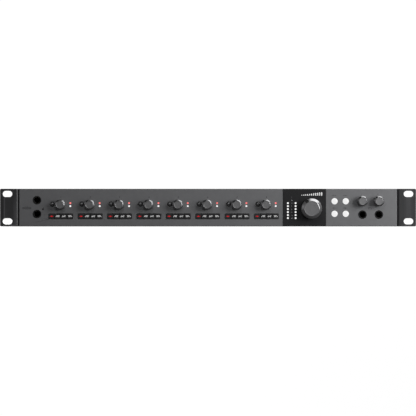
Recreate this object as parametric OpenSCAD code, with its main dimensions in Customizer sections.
// Rack audio interface, one unit high: eight microphone channels, a monitor section and two
// headphone outputs. Millimetres. The origin is the centre of the four rack slots, on the plane
// where the ears meet the rack rails. Seen from the front, +X is to the right, +Y runs to the
// rear and +Z is up.

/* [Rack panel] */
// Width over both rack ears
rack_w = 482.6; // [481.5:0.1:483.4]
// Height of the front panel: one rack unit less its clearance
panel_h = 43.7; // [43.5:0.1:44.4]
// Distance between the left and the right rack slots
slot_span = 465.1; // [464.6:0.1:465.6]
// Distance between the upper and the lower rack slots
slot_rise = 31.75; // [31.5:0.05:32]
// Length of a rack slot, end to end
slot_l = 11.2; // [10:0.1:12]
// Height of a rack slot
slot_h = 7.1; // [6.6:0.1:7.4]
// Thickness of the bent steel ears
ear_t = 2.5; // [2:0.1:3]
// How far each ear's side flange runs back along the case
ear_depth = 36; // [32:1:60]

/* [Case] */
// Width of the case
case_w = 440; // [439.5:0.1:440.5]
// Depth of the case behind the front panel
case_d = 220; // [216:1:250]
// Thickness of the case's sheet steel
sheet_t = 1.2; // [1:0.1:1.3]
// Thickness of the aluminium fascia
fascia_t = 3; // [2.8:0.1:4]

/* [Channel strip] */
// Distance from one channel to the next
channel_pitch = 34.05; // [33.6:0.05:34.3]
// Diameter of a gain knob
gain_knob_d = 11.9; // [10.6:0.1:12.6]
// Height of a gain knob in front of the fascia
gain_knob_h = 10; // [9:0.5:14]
// Diameter of a channel's round select button
select_d = 5.4; // [4.8:0.1:5.6]
// Distance between neighbouring keys in a channel's row of four
key_pitch = 7.1; // [6.9:0.05:7.2]
// How far a key travels when it is pressed
key_travel = 0.6; // [0.3:0.1:0.7]

/* [Monitor and headphone sections] */
// Diameter of the volume knob
volume_knob_d = 23.4; // [22:0.1:25]
// Height of the volume knob in front of the centre panel
volume_knob_h = 14; // [12:0.5:18]
// Diameter of a headphone knob
phones_knob_d = 11.8; // [10.6:0.1:12.6]
// Diameter of a lit function button
function_d = 7; // [6.6:0.1:7.2]
// How far a round button travels when it is pressed
button_travel = 0.8; // [0.4:0.1:0.9]

/* [Hidden] */
$fn = 48;
channels = 8;

half_h = panel_h / 2;
half_case = case_w / 2;
in_half = half_case - sheet_t;          // inner face of the cover's sides
wall_half = in_half - sheet_t;          // half the width of the front and rear walls
floor_z = -half_h + sheet_t;            // top of the case floor
roof_z = half_h - sheet_t;              // underside of the cover
fascia_w = case_w - 2;                  // the fascia stops short of the ears
face_y = -fascia_t;                     // front of the fascia
flange_z = floor_z + 8.5;               // top of the tray's side flanges
fold_z = -15.3;                         // top of the tray's front and rear folds
recess_t = 2;                           // depth of the pocket that holds the centre panel
proud_t = 0.2;                          // how far the centre panel stands out of its pocket
centre_face_y = face_y - proud_t;

// Depths of the things behind the panel, from the front to the rear
web_y = sheet_t + 0.1;                  // front of the flanges that hold buttons in
web_t = 1;
plunger_y = web_y + web_t + 1;          // tip of a switch plunger
switch_y = 5.2;                         // front of a switch body
board_y = 9;                            // front of the control board
board_t = 1.6;
main_z = -14.5;                         // top of the main board
rear_y = case_d;                        // outer face of the rear wall
wall_y = case_d - sheet_t;              // inner face of the rear wall

// Places on the front, as [x, z]
strip_x = -170.6;                       // middle of the first channel's row of keys
gain_at = [-0.5, 3.3];                  // within a strip, measured from strip_x
select_at = [-9.8, 4.1];
clip_at = [10.9, 5.25];
signal_at = [10.9, 1.75];
keys_z = -10.1;
di_at = [[-198.2, 8.7], [-198.2, -7.4]];
phones_jack_at = [[179.1, -8.1], [198.1, -8.1]];
phones_knob_at = [[178.9, 7.5], [197.9, 7.5]];
volume_at = [119.9, -1.2];
function_at = [[146.8, 7.4], [159.8, 7.4], [146.8, -7.2], [159.8, -7.2]];
centre_x = [86.6, 136.8];               // left and right edges of the centre panel
meter_x = [92.7, 101.65];
meter_z = 5.2;                          // top row of the meter
meter_pitch = 3.47;
meter_rows = 6;

// Radii on the front
shaft_r = 3;
bushing_r = 3.4;
spindle_hole_r = 3.6;
light_r = 1;
jack_nose_r = 4.5;
jack_bore_r = 3.25;
jack_mouth_r = 3.7;
gap = 0.15;                             // play of a button or nose in the fascia
wall_gap = 0.3;                         // further play where it passes the front wall
key_size = [key_pitch - 0.35, 6.2];
key_window = [3 * key_pitch + key_size[0] + 0.4, key_size[1] + 0.4];

// The knobs' marks point to eleven o'clock at rest
pointer_deg = -35;
volume_face = 0.735;                    // diameter of a knob's flat face over the knob's own
small_face = 0.8;

// Places on the rear wall, as x or [x, z]
combo_pitch = 26.6;
combo_x = [for (i = [0:channels - 1]) -203.5 + combo_pitch * i];
dsub_x = 29;
dsub_z = [-7.9, 7.9];
monitor_jack_at = [[67, 8.3], [67, -8.3]];
optical_at = [[85, 7.2], [100.5, 7.2], [85, -7.2], [100.5, -7.2]];
clock_at = [[117, 9], [117, -9]];
usb_at = [134, main_z + 1.9];
inlet_x = 186;
rocker_x = 157.5;
rocker_pivot_y = rear_y - 0.5;
rocker_rest_deg = 8;

// Fastener places
cover_screw_y = [62, 128, 204];
wall_screw_x = [-190, -60, 60, 190];
wall_screw_z = -18;
ear_screw_at = [[14, 14], [14, -14], [27, 0]];   // [y, z] on an ear's flange
fixing_x = [-205, -95, 30, 142];
fixing_y = [40, 120, 186];
front_fixing_at = [[-146.5, 14], [-44.3, 14], [57.8, 14], [139.5, 14], [166.3, -12], [-186, 14]];

// ---------------------------------------------------------------- shared shapes

// Middle of a channel's strip, counting channels from 0
function channel_x(i) = strip_x + channel_pitch * i;

// A block between two corners
module block(low, high) {
    translate(low)
        cube(high - low);
}

// A cylinder along Y, from y0 to y1
module rod(r, y0, y1) {
    translate([0, y0, 0])
        rotate([-90, 0, 0])
            cylinder(r = r, h = y1 - y0);
}

// A flat outline drawn in x and z, as thick as y0 to y1
module slab(y0, y1) {
    translate([0, y1, 0])
        rotate([90, 0, 0])
            linear_extrude(y1 - y0)
                children();
}

// Puts its children at an [x, z] place on the panel
module at(p) {
    translate([p[0], 0, p[1]])
        children();
}

// A rectangle with round corners, centred
module round_rect(w, h, r) {
    square([w - 2 * r, h], center = true);
    square([w, h - 2 * r], center = true);
    for (sx = [-1, 1], sz = [-1, 1])
        translate([sx * (w / 2 - r), sz * (h / 2 - r)])
            circle(r);
}

// A block whose four edges along Y are round
module round_block(w, h, r, y0, y1) {
    slab(y0, y1)
        round_rect(w, h, r);
}

// A slot through Y, with round ends
module slot(l, h, y0, y1) {
    block([-(l - h) / 2, y0, -h / 2], [(l - h) / 2, y1, h / 2]);
    for (s = [-1, 1])
        translate([s * (l - h) / 2, 0, 0])
            rod(h / 2, y0, y1);
}

// A pan-head screw along Z, with its head above z = 0 and a hexagon socket
module pan_screw(head_r, head_h, shank_r, shank_l) {
    difference() {
        cylinder(r = head_r, h = head_h);
        translate([0, 0, head_h * 0.45])
            cylinder(r = head_r * 0.5, h = head_h, $fn = 6);
    }
    translate([0, 0, -shank_l])
        cylinder(r = shank_r, h = shank_l);
}

// A countersunk screw along Z, flush with z = 0
module flat_screw(head_r, shank_r, shank_l) {
    difference() {
        translate([0, 0, -(head_r - shank_r)])
            cylinder(r1 = shank_r, r2 = head_r, h = head_r - shank_r);
        translate([0, 0, -0.8])
            cylinder(r = head_r * 0.45, h = 1, $fn = 6);
    }
    translate([0, 0, -shank_l])
        cylinder(r = shank_r, h = shank_l - (head_r - shank_r));
}

// The hole that a countersunk screw sits in, a little larger than the screw
module flat_screw_hole(head_r, hole_r) {
    translate([0, 0, -(head_r - hole_r) + 0.01])
        cylinder(r1 = hole_r, r2 = head_r, h = head_r - hole_r);
    translate([0, 0, -6])
        cylinder(r = hole_r, h = 7);
}

// ---------------------------------------------------------------- casework

// Every hole that the fascia and the front wall share; more is extra room around each
module front_holes(y0, y1, more) {
    for (p = concat(di_at, phones_jack_at))
        at(p)
            rod(jack_nose_r + gap + more, y0, y1);
    for (p = concat([volume_at], phones_knob_at))
        at(p)
            rod(spindle_hole_r + more, y0, y1);
    for (p = function_at)
        at(p)
            rod(function_d / 2 + gap + more, y0, y1);
    for (i = [0:channels - 1])
        translate([channel_x(i), 0, 0])
            strip_holes(y0, y1, more);
    meter_places()
        rod(light_r + gap + more, y0, y1);
}

// One channel's holes, drawn around its middle
module strip_holes(y0, y1, more) {
    at(gain_at)
        rod(spindle_hole_r + more, y0, y1);
    at(select_at)
        rod(select_d / 2 + gap + more, y0, y1);
    for (p = [clip_at, signal_at])
        at(p)
            rod(light_r + gap + more, y0, y1);
    at([0, keys_z])
        round_block(key_window[0] + 2 * more, key_window[1] + 2 * more, 1, y0, y1);
}

// Repeats its children at each of the meter's lights
module meter_places() {
    for (x = meter_x, row = [0:meter_rows - 1])
        at([x, meter_z - meter_pitch * row])
            children();
}

// Aluminium fascia, bevelled along its front edges, with a pocket for the centre panel
module fascia() {
    bevel = 0.5;
    color("dimgray")
        difference() {
            block([-fascia_w / 2, face_y, -half_h], [fascia_w / 2, 0, half_h]);
            for (s = [-1, 1])
                translate([0, face_y, s * half_h])
                    rotate([45, 0, 0])
                        cube([rack_w, bevel * sqrt(2), bevel * sqrt(2)], center = true);
            for (s = [-1, 1])
                translate([s * fascia_w / 2, face_y, 0])
                    rotate([0, 0, 45])
                        cube([bevel * sqrt(2), bevel * sqrt(2), rack_w], center = true);
            block([centre_x[0], face_y - 1, -half_h - 1],
                  [centre_x[1], face_y + recess_t, half_h + 1]);
            front_holes(face_y - 1, 1, 0);
        }
}

// Black centre panel that carries the meter and the volume knob
module centre_panel() {
    play = 0.1;
    color([0.1, 0.1, 0.11])
        difference() {
            block([centre_x[0] + play, centre_face_y, -half_h],
                  [centre_x[1] - play, face_y + recess_t, half_h]);
            at(volume_at)
                rod(spindle_hole_r, centre_face_y - 1, 1);
            meter_places()
                rod(light_r + gap, centre_face_y - 1, 1);
        }
}

// Folded steel tray: the floor, a low flange along each side, and a low fold at the front and at
// the rear that the two walls are screwed to
module chassis_tray() {
    color([0.12, 0.12, 0.13])
        difference() {
            union() {
                block([-in_half, 0, -half_h], [in_half, case_d, floor_z]);
                for (s = [-1, 1])
                    translate([s * (in_half - sheet_t / 2), 0, 0])
                        block([-sheet_t / 2, 0, -half_h], [sheet_t / 2, case_d, flange_z]);
                for (y = [sheet_t, wall_y - sheet_t])
                    block([-in_half, y, -half_h], [in_half, y + sheet_t, fold_z]);
            }
            case_screw_places()
                cylinder(r = 1.4, h = 12, center = true);
            ear_screw_holes();
        }
}

// Flat steel wall between the fascia and the controls
module front_wall() {
    color([0.12, 0.12, 0.13])
        difference() {
            block([-wall_half, 0, floor_z], [wall_half, sheet_t, roof_z]);
            front_holes(-1, sheet_t + 1, wall_gap);
            case_screw_places()
                flat_screw_hole(2.7, 1.55);
        }
}

// Flat steel wall that carries the rear sockets
module rear_panel() {
    color([0.12, 0.12, 0.13])
        difference() {
            block([-wall_half, wall_y, floor_z], [wall_half, rear_y, roof_z]);
            rear_holes();
            case_screw_places()
                flat_screw_hole(2.7, 1.55);
        }
}

// Everything that pierces the rear wall
module rear_holes() {
    y0 = wall_y - 1;
    y1 = rear_y + 1;
    for (x = combo_x)
        at([x, 0]) {
            rod(12, y0, y1);
            combo_screw_places()
                rod(1.4, y0, y1);
        }
    for (z = dsub_z)
        at([dsub_x, z]) {
            slab(y0, y1)
                dsub_outline(0.3);
            for (s = [-1, 1])
                translate([s * dsub_screw_x, 0, 0])
                    rod(1.8, y0, y1);
        }
    for (p = monitor_jack_at)
        at(p)
            rod(jack_nose_r + 0.2, y0, y1);
    for (p = optical_at)
        at(p)
            block([-5.8, y0, -5.3], [5.8, y1, 5.3]);
    for (p = clock_at)
        at(p)
            rod(5, y0, y1);
    at(usb_at)
        slot(9.6, 3.9, y0, y1);
    block([rocker_x - 7, y0, -10], [rocker_x + 7, y1, 10]);
    block([inlet_x - 14, y0, -10], [inlet_x + 14, y1, 10]);
    for (s = [-1, 1])
        at([inlet_x + s * inlet_screw_x, 0])
            rod(1.7, y0, y1);
}

// U-shaped cover: the top and both sides, with vent slots
module top_cover() {
    vent = [3, 22];
    color([0.12, 0.12, 0.13])
        difference() {
            union() {
                block([-half_case, 0, roof_z], [half_case, case_d, half_h]);
                for (s = [-1, 1])
                    translate([s * (half_case - sheet_t / 2), 0, 0])
                        block([-sheet_t / 2, 0, -half_h], [sheet_t / 2, case_d, roof_z]);
            }
            case_screw_places()
                flat_screw_hole(2.7, 1.55);
            ear_screw_holes();
            for (i = [0:13])
                translate([0, 56 + 9 * i, 6])
                    rotate([0, 0, 90])
                        slot(6, vent[0], -half_case - 1, half_case + 1);
            for (i = [0:10], j = [0:1])
                translate([140 + 7 * i, 80 + 40 * j, half_h - 3])
                    rotate([90, 0, 0])
                        rotate([0, 90, 0])
                            slot(vent[1], vent[0], -8, 8);
        }
}

// One rack ear, bent round its inner edge so that its flange runs back along the case.
// Drawn for the right-hand side.
module rack_ear() {
    outer = rack_w / 2;
    bend_x = half_case + ear_t;
    corner_r = 1.5;
    difference() {
        union() {
            translate([0, 0, -half_h])
                linear_extrude(panel_h) {
                    translate([bend_x, -ear_t])
                        square([outer - bend_x, ear_t]);
                    translate([half_case, 0])
                        square([ear_t, ear_depth]);
                    intersection() {
                        translate([bend_x, 0])
                            circle(ear_t);
                        translate([half_case, -ear_t])
                            square(ear_t);
                    }
                }
        }
        for (sz = [-1, 1]) {
            translate([slot_span / 2, 0, sz * slot_rise / 2])
                slot(slot_l, slot_h, -ear_t - 1, 1);
            difference() {
                translate([outer, -ear_t / 2, sz * half_h])
                    cube([2 * corner_r, ear_t + 1, 2 * corner_r], center = true);
                translate([outer - corner_r, 0, sz * (half_h - corner_r)])
                    rod(corner_r, -ear_t - 1, 1);
            }
        }
        ear_screw_holes();
    }
}

// Holes for the screws that hold the ears, through both sides of the case
module ear_screw_holes() {
    for (s = [-1, 1], p = ear_screw_at)
        translate([s * half_case, p[0], p[1]])
            rotate([0, 90, 0])
                cylinder(r = 2.15, h = 12, center = true);
}

module left_rack_ear() {
    color([0.09, 0.09, 0.1])
        mirror([1, 0, 0])
            rack_ear();
}

module right_rack_ear() {
    color([0.09, 0.09, 0.1])
        rack_ear();
}

// Puts its children at each case screw, with +Z out of the sheet: three through each side of
// the cover, four through the front wall and four through the rear panel
module case_screw_places() {
    for (s = [-1, 1], y = cover_screw_y)
        translate([s * half_case, y, -half_h + 5])
            rotate([0, s * 90, 0])
                children();
    for (x = wall_screw_x) {
        translate([x, 0, wall_screw_z])
            rotate([90, 0, 0])
                children();
        translate([x, rear_y, wall_screw_z])
            rotate([-90, 0, 0])
                children();
    }
}

module case_screws() {
    color([0.16, 0.16, 0.17])
        case_screw_places()
            flat_screw(2.5, 1.35, 5);
}

module ear_screws() {
    color([0.16, 0.16, 0.17])
        for (s = [-1, 1], p = ear_screw_at)
            translate([s * (half_case + ear_t), p[0], p[1]])
                rotate([0, s * 90, 0])
                    pan_screw(3.6, 2, 2, 8);
}

// ---------------------------------------------------------------- front controls

// A turned knob around the Y axis. Its face is at -h and its skirt is 0.6 in front of y = 0.
// The side leans in, then a broad bevel leads to a dished face. The mark is a notch in the
// bevel. The metal spindle is pressed into the blind hole behind.
module knob(d, h, face_d, spindle_end) {
    r = d / 2;
    face_r = face_d / 2;
    skirt = 0.6;
    hole = h * 0.6;
    difference() {
        rotate([90, 0, 0])
            rotate_extrude()
                polygon([[0, skirt], [r, skirt], [r, skirt + 0.8], [r - 0.25, h - (r - face_r) * 0.9],
                         [face_r + 0.15, h], [face_r - 0.35, h], [face_r - 0.6, h - 0.25],
                         [0, h - 0.25]]);
        rod(shaft_r + 0.02, -hole, 1);
        rotate([0, pointer_deg, 0])
            translate([0, -h, r - (r - face_r) * 0.5])
                rotate([45, 0, 0])
                    cube([d * 0.14, (r - face_r) * 1.1, (r - face_r) * 1.1], center = true);
    }
    rod(shaft_r, -hole + 0.4, spindle_end);
}

module gain_knob() {
    at(gain_at)
        translate([0, face_y, 0])
            knob(gain_knob_d, gain_knob_h, gain_knob_d * small_face, board_y - 0.5 - face_y);
}

module phones_knob(p) {
    color([0.4, 0.4, 0.41])
        at(p)
            translate([0, face_y, 0])
                knob(phones_knob_d, gain_knob_h, phones_knob_d * small_face, board_y - 0.5 - face_y);
}

module volume_knob() {
    color([0.42, 0.42, 0.43])
        at(volume_at)
            translate([0, centre_face_y, 0])
                knob(volume_knob_d, volume_knob_h, volume_knob_d * volume_face,
                     board_y - 0.5 - centre_face_y);
}

// A round button with a domed or flat cap and the flange that keeps it in
module round_button(d, proud, dome) {
    cap_y = face_y - proud;
    rod(d / 2 + 0.85, web_y, web_y + web_t);
    rod(d / 2, cap_y + dome, web_y);
    if (dome > 0)
        intersection() {
            rod(d / 2, cap_y - 1, cap_y + dome);
            translate([0, cap_y + (d * d / 4 + dome * dome) / (2 * dome), 0])
                sphere((d * d / 4 + dome * dome) / (2 * dome));
        }
}

module select_button() {
    at(select_at)
        round_button(select_d, 1.8, 0.9);
}

module function_button(p) {
    color("white")
        at(p)
            round_button(function_d - 0.1, 1.2, 0.35);
}

// A channel's four keys, moulded in one strip with the web that holds them in
module key_bank() {
    proud = 0.7;
    at([0, keys_z]) {
        round_block(key_window[0] + 2.4, key_window[1] + 2.4, 1.5, web_y, web_y + web_t);
        for (k = [-1.5:1.5])
            at([k * key_pitch, 0])
                round_block(key_size[0], key_size[1], 0.8, face_y - proud, web_y);
    }
}

// ---------------------------------------------------------------- lights

// Clear rods that bring light from the control board to the fascia: a red and a white one in
// each channel, and the meter's two columns
module light_pipes() {
    color([0.92, 0.94, 0.95]) {
        for (i = [0:channels - 1], p = [clip_at, signal_at])
            at([channel_x(i) + p[0], p[1]])
                rod(light_r, face_y - 0.15, board_y);
        meter_places()
            rod(light_r, centre_face_y - 0.15, board_y);
    }
}

// ---------------------------------------------------------------- control board

// The board that stands behind the front wall, notched round the headphone jacks
module control_board() {
    top = 18.5;
    color([0.05, 0.3, 0.15]) {
        difference() {
            union() {
                block([-189.5, board_y, -top], [169.5, board_y + board_t, top]);
                block([169.5, board_y, 0.6], [209, board_y + board_t, top]);
                block([-16, board_y + board_t, -0.5], [16, board_y + board_t + 6, 8.5]);
            }
            for (p = front_fixing_at)
                at(p)
                    rod(1.6, board_y - 1, board_y + board_t + 1);
        }
    }
}

// A potentiometer: its case on the control board and its threaded bushing
module pot_body(front_y) {
    seat_y = 2.4;
    difference() {
        union() {
            block([-4.75, seat_y, -6.2], [4.75, board_y, 5.2]);
            rod(bushing_r, front_y + 1.2, seat_y);
        }
        rod(shaft_r + 0.05, front_y, board_y - 0.3);
    }
}

module pots() {
    color([0.3, 0.32, 0.34]) {
        for (i = [0:channels - 1])
            translate([channel_x(i), 0, 0])
                at(gain_at)
                    pot_body(face_y);
        for (p = phones_knob_at)
            at(p)
                pot_body(face_y);
    }
}

module volume_encoder() {
    seat_y = 2.4;
    color([0.6, 0.62, 0.64])
        at(volume_at)
            difference() {
                union() {
                    block([-6.5, seat_y, -6.5], [6.5, board_y, 6.5]);
                    rod(bushing_r, face_y + 1.2, seat_y);
                }
                rod(shaft_r + 0.05, face_y, board_y - 0.3);
            }
}

// A push switch on the control board
module push_switch() {
    block([-3, switch_y, -3], [3, board_y, 3]);
    rod(1.7, plunger_y, switch_y);
}

module push_switches() {
    color([0.2, 0.2, 0.2]) {
        for (i = [0:channels - 1])
            translate([channel_x(i), 0, 0]) {
                at(select_at)
                    push_switch();
                for (k = [-1.5:1.5])
                    at([k * key_pitch, keys_z])
                        push_switch();
            }
        for (p = function_at)
            at(p)
                push_switch();
    }
}

// ---------------------------------------------------------------- sockets

// A 6.35 mm jack socket whose mouth is at y = 0 and faces -Y; depth is the length of its nose
module jack_socket(nose_l, body) {
    difference() {
        union() {
            rod(jack_nose_r, 0, nose_l);
            block([-body[0] / 2, nose_l, -body[2] / 2], [body[0] / 2, nose_l + body[1], body[2] / 2]);
        }
        rod(jack_mouth_r, -1, nose_l + 0.1);
        rod(jack_bore_r, 0, nose_l + body[1] - 1.2);
    }
}

module front_jacks() {
    lip = 0.2;                          // the noses stop this far inside the fascia
    color([0.07, 0.07, 0.07])
        for (p = concat(di_at, phones_jack_at))
            at(p)
                translate([0, face_y + lip, 0])
                    jack_socket(sheet_t - face_y - lip, [15, 24, 14.4]);
}

module monitor_jacks() {
    nose_out = 2.4;
    color([0.07, 0.07, 0.07])
        for (p = monitor_jack_at)
            at(p)
                translate([0, rear_y + nose_out, 0])
                    mirror([0, 1, 0]) {
                        jack_socket(nose_out + sheet_t, [14.5, 24, 12.4]);
                        difference() {
                            rod(6.4, nose_out - 1.8, nose_out, $fn = 6);
                            rod(jack_nose_r, 0, 3);
                        }
                    }
}

// Two screws fix each combination socket, one in each of two opposite corners
module combo_screw_places() {
    for (s = [-1, 1])
        translate([s * 9.6, 0, s * 12])
            children();
}

// Combination socket: a three-pin microphone ring with a 6.35 mm jack in its middle
module combo_socket() {
    insert_y = rear_y - 2.6;
    contact_ring_r = 5.6;
    difference() {
        union() {
            rod(11.8, wall_y - 1, rear_y + 0.8);
            block([-13, rear_y - 27, main_z], [13, wall_y, 14.2]);
        }
        rod(9.9, insert_y, rear_y + 2);
        difference() {
            rod(9.9, rear_y - 13, insert_y + 0.1);
            rod(7.9, rear_y - 14, insert_y + 1);
        }
        block([-1.3, rear_y - 8, 9], [1.3, rear_y + 2, 10.9]);
        rod(jack_bore_r, rear_y - 26, insert_y + 1);
        for (a = [30, 150, 270])
            rotate([0, -a, 0])
                translate([contact_ring_r, 0, 0])
                    rod(1.2, rear_y - 12, insert_y + 1);
        combo_screw_places()
            rod(1.2, rear_y - 12, rear_y + 1);
    }
}

module combo_sockets() {
    color([0.08, 0.08, 0.09])
        for (x = combo_x)
            at([x, 0])
                combo_socket();
}

dsub_screw_x = 23.52;

// Outline of a 25-way connector's shell, with room all round
module dsub_outline(more) {
    half_top = 19.2 + more;
    half_low = 17.7 + more;
    half = 4.2 + more;
    polygon([[-half_top, half], [half_top, half], [half_low, -half], [-half_low, -half]]);
}

// Two 25-way connectors stacked in one body
module dsub_sockets() {
    shell_y = rear_y + 4.6;
    contact_pitch = 2.76;
    contact_row = 1.42;
    color([0.62, 0.63, 0.65])
        at([dsub_x, 0])
            difference() {
                union() {
                    block([-26.5, rear_y - 18, main_z], [26.5, wall_y, 14.3]);
                    for (z = dsub_z)
                        at([0, z])
                            slab(wall_y - 0.1, shell_y)
                                dsub_outline(0);
                }
                for (z = dsub_z)
                    at([0, z]) {
                        difference() {
                            slab(rear_y + 3.9, shell_y + 1)
                                dsub_outline(-0.5);
                        }
                        for (i = [-6:6])
                            translate([i * contact_pitch, 0, contact_row])
                                rod(0.6, rear_y - 2, shell_y);
                        for (i = [-5.5:5.5])
                            translate([i * contact_pitch, 0, -contact_row])
                                rod(0.6, rear_y - 2, shell_y);
                        for (s = [-1, 1])
                            translate([s * dsub_screw_x, 0, 0])
                                rod(1.5, rear_y - 10, rear_y + 1);
                    }
            }
}

// Square optical port with a sloped top, and the small lens post inside it
module optical_port() {
    mouth_y = rear_y + 0.5;
    well_y = rear_y - 9;
    difference() {
        union() {
            block([-7, rear_y - 15, -7], [7, wall_y, 7]);
            block([-5.6, wall_y - 0.1, -5.1], [5.6, mouth_y, 5.1]);
        }
        slab(well_y, mouth_y + 1)
            polygon([[-4.6, -4.1], [4.6, -4.1], [4.6, 2.6], [3.1, 4.1], [-3.1, 4.1], [-4.6, 2.6]]);
    }
    rod(1.6, well_y, well_y + 2.5);
}

module optical_ports() {
    color([0.06, 0.06, 0.06])
        for (p = optical_at)
            at(p)
                optical_port();
}

// Bayonet coaxial socket with its panel nut
module word_clock_socket() {
    tip_y = rear_y + 12;
    difference() {
        union() {
            rod(4.8, wall_y - 1, tip_y);
            block([-6.6, rear_y - 14, -5.5], [6.6, wall_y, 5.5]);
            rod(7.2, rear_y, rear_y + 2.4, $fn = 6);
            translate([0, tip_y - 3, 0])
                rotate([0, 90, 0])
                    cylinder(r = 1, h = 11.6, center = true);
        }
        difference() {
            rod(4, rear_y + 3.4, tip_y + 1);
            rod(2.4, rear_y + 2, tip_y - 1.5);
        }
        rod(0.5, rear_y + 4, tip_y + 1);
    }
}

module word_clock_sockets() {
    color([0.75, 0.76, 0.78])
        for (p = clock_at)
            at(p)
                word_clock_socket();
}

module usb_socket() {
    well_y = rear_y - 6;
    color([0.7, 0.71, 0.73])
        at(usb_at) {
            difference() {
                slot(9, 3.3, rear_y - 8, rear_y + 0.3);
                slot(8.4, 2.7, well_y, rear_y + 1);
            }
            block([-3.35, well_y, -0.35], [3.35, rear_y - 0.6, 0.35]);
            block([-4.5, rear_y - 8, -1.9], [4.5, wall_y - 0.2, -1.5]);
        }
}

inlet_screw_x = 19.5;

// Mains inlet and the housing of the power switch, moulded as one unit with a common flange
module power_inlet() {
    flange_t = 2.2;
    well_y = rear_y - 15;
    rocker_well = [5.1, 9.1];
    color([0.06, 0.06, 0.06])
        difference() {
            union() {
                difference() {
                    union() {
                        block([rocker_x - 9, rear_y, -12], [inlet_x + 24, rear_y + flange_t, 12]);
                        block([inlet_x - 13.8, rear_y - 22, -9.8], [inlet_x + 13.8, rear_y, 9.8]);
                        block([rocker_x - 6.8, rear_y - 18, -9.8], [rocker_x + 6.8, rear_y, 9.8]);
                    }
                    at([inlet_x, 0])
                        slab(well_y, rear_y + flange_t + 1)
                            polygon([[-12, -8.2], [12, -8.2], [12, 4.2], [8, 8.2], [-8, 8.2], [-12, 4.2]]);
                    at([rocker_x, 0])
                        block([-rocker_well[0], rocker_pivot_y - 4.8, -rocker_well[1]],
                              [rocker_well[0], rear_y + flange_t + 1, rocker_well[1]]);
                }
                for (p = [[-7, -2], [7, -2], [0, 2]])
                    at([inlet_x + p[0], p[1]])
                        block([-1, well_y - 1, -2], [1, rear_y - 2, 2]);
            }
            translate([rocker_x, rocker_pivot_y, 0])
                rotate([0, 90, 0])
                    cylinder(r = 1.07, h = 2 * rocker_well[0] + 2.4, center = true);
            for (s = [-1, 1])
                at([inlet_x + s * inlet_screw_x, 0])
                    rod(1.6, rear_y - 1, rear_y + flange_t + 1);
        }
}

// See-saw power switch, resting in its on position; it turns on two stub pins
module power_rocker() {
    half_w = 4.7;
    color([0.1, 0.1, 0.1])
        translate([rocker_x, rocker_pivot_y, 0])
            rotate([rocker_rest_deg, 0, 0]) {
                rotate([90, 0, 90])
                    translate([0, 0, -half_w])
                        linear_extrude(2 * half_w)
                            polygon([[0, -8], [4.4, -8], [3, 0], [4.4, 8], [0, 8], [-3, 5], [-3, -5]]);
                rotate([0, 90, 0])
                    cylinder(r = 1, h = 2 * half_w + 1.8, center = true);
            }
}

// Screws seen on the rear: two to a combination socket, two to the inlet, and the threaded
// hexagon posts that a 25-way plug screws into
module socket_screws() {
    color([0.7, 0.71, 0.72]) {
        for (x = combo_x)
            at([x, 0])
                combo_screw_places()
                    translate([0, rear_y, 0])
                        rotate([-90, 0, 0])
                            pan_screw(2.5, 1.4, 1.15, 8);
        for (s = [-1, 1])
            translate([inlet_x + s * inlet_screw_x, rear_y + 2.2, 0])
                rotate([-90, 0, 0])
                    pan_screw(2.7, 1.5, 1.5, 7);
        for (z = dsub_z, s = [-1, 1])
            translate([dsub_x + s * dsub_screw_x, 0, z])
                difference() {
                    union() {
                        rod(2.7, rear_y, rear_y + 5, $fn = 6);
                        rod(1.4, rear_y - 7, rear_y);
                    }
                    rod(1.1, rear_y - 1, rear_y + 6);
                }
    }
}

// ---------------------------------------------------------------- inside the case

// The preamplifier parts behind one channel's socket, drawn on top of the main board
module preamp_parts() {
    block([-10, 150, main_z - 0.1], [10, 160, main_z + 10]);
    for (dx = [-6.5, 6.5], dy = [0, 14])
        translate([dx, 130 + dy - 4, main_z - 0.1])
            cylinder(r = 3.1, h = 8);
    for (dy = [0, 16, 32])
        block([-5, 70 + dy, main_z - 0.1], [5, 76 + dy, main_z + 1.8]);
}

module main_board() {
    first = min(combo_x) - 10.5;
    last = 150;
    color([0.05, 0.3, 0.15])
        difference() {
            union() {
                block([first, 32, main_z - board_t], [last, wall_y - 2.8, main_z]);
                for (x = combo_x)
                    translate([x, 0, 0])
                        preamp_parts();
                block([50, 70, main_z - 0.1], [76, 96, main_z + 2.2]);
                for (i = [0:5])
                    block([50 + 4.8 * i, 70, main_z + 2.1], [52 + 4.8 * i, 96, main_z + 9]);
                block([88, 80, main_z - 0.1], [106, 98, main_z + 1.8]);
                block([90, 120, main_z - 0.1], [104, 134, main_z + 1.8]);
                block([-16, 33, main_z - 0.1], [16, 43, main_z + 8]);
            }
            for (x = fixing_x, y = fixing_y)
                translate([x, y, main_z])
                    cylinder(r = 1.6, h = 8, center = true);
        }
}

// Open-frame mains supply on its own board
module power_supply() {
    low = [157, 60, main_z - board_t];
    high = [212, 176, main_z];
    top = 16;
    color([0.55, 0.45, 0.2])
        difference() {
            union() {
                block(low, high);
                block([164, 100, main_z - 0.1], [190, 126, 10]);
                block([162, 138, main_z - 0.1], [184, 158, 4]);
                for (x = [196, 206], y = [76, 92])
                    translate([x, y, main_z - 0.1])
                        cylinder(r = 4.5, h = top - main_z - 6);
                translate([176, 78, main_z - 0.1])
                    cylinder(r = 10, h = top - main_z);
                block([194, 104, main_z - 0.1], [206, 168, main_z + 3]);
                for (i = [0:3])
                    block([194 + 3.4 * i, 104, main_z + 2.9], [195.6 + 3.4 * i, 168, 12]);
            }
            supply_fixing_places()
                cylinder(r = 1.6, h = 8, center = true);
        }
}

module supply_fixing_places() {
    for (x = [160.5, 208.5], y = [64, 172])
        translate([x, y, main_z])
            children();
}

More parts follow.
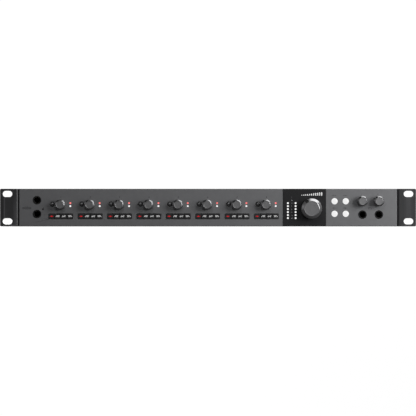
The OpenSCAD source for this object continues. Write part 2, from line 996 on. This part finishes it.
// Threaded posts and the screws that hold the boards on them
module board_fixings() {
    color([0.75, 0.72, 0.6]) {
        for (x = fixing_x, y = fixing_y)
            translate([x, y, main_z])
                board_fixing(main_z - board_t - floor_z);
        supply_fixing_places()
            board_fixing(main_z - board_t - floor_z);
        for (p = front_fixing_at)
            translate([p[0], board_y + board_t, p[1]])
                rotate([-90, 0, 0])
                    board_fixing(board_y - sheet_t);
    }
}

// A post under a board and its screw, with the board's top face at z = 0
module board_fixing(post_h) {
    translate([0, 0, -board_t - post_h])
        difference() {
            cylinder(r = 2.8, h = post_h, $fn = 6);
            translate([0, 0, 0.8])
                cylinder(r = 1.5, h = post_h);
        }
    pan_screw(2.8, 1.8, 1.4, board_t + 3);
}

// Flat cable from the control board down to the main board, with a plug at each end
module ribbon_cable() {
    strip_z = 4;
    bend_r = 9;
    bend_y = 29;
    half_w = 13;
    thick = 0.9;
    plug_y = board_y + board_t + 6;
    plug_z = main_z + 8;
    color([0.6, 0.6, 0.58]) {
        block([-14.5, plug_y, 0], [14.5, plug_y + 5, 8]);
        translate([-half_w, 0, 0])
            rotate([90, 0, 90])
                linear_extrude(2 * half_w) {
                    translate([plug_y + 5, strip_z - thick / 2])
                        square([bend_y - plug_y - 5, thick]);
                    intersection() {
                        translate([bend_y, strip_z - bend_r])
                            difference() {
                                circle(bend_r + thick / 2);
                                circle(bend_r - thick / 2);
                            }
                        translate([bend_y, plug_z + 3])
                            square(2 * bend_r);
                    }
                }
        block([-14.5, 34, plug_z], [14.5, 42, plug_z + 3]);
    }
}

// ---------------------------------------------------------------- the nodes

chassis_tray();
front_wall();
rear_panel();
top_cover();
fascia();
centre_panel();
left_rack_ear();
right_rack_ear();
case_screws();
ear_screws();
control_board();
pots();
volume_encoder();
push_switches();
light_pipes();
front_jacks();
combo_sockets();
dsub_sockets();
monitor_jacks();
optical_ports();
word_clock_sockets();
usb_socket();
power_inlet();
socket_screws();
main_board();
power_supply();
board_fixings();
ribbon_cable();
volume_knob();
power_rocker();
for (i = [0:channels - 1])
    translate([channel_x(i), 0, 0]) {
        color([0.36, 0.36, 0.37]) gain_knob();
        color([0.06, 0.06, 0.06]) select_button();
        color([0.05, 0.05, 0.05]) key_bank();
    }
for (i = [0:1])
    phones_knob(phones_knob_at[i]);
for (i = [0:3])
    function_button(function_at[i]);
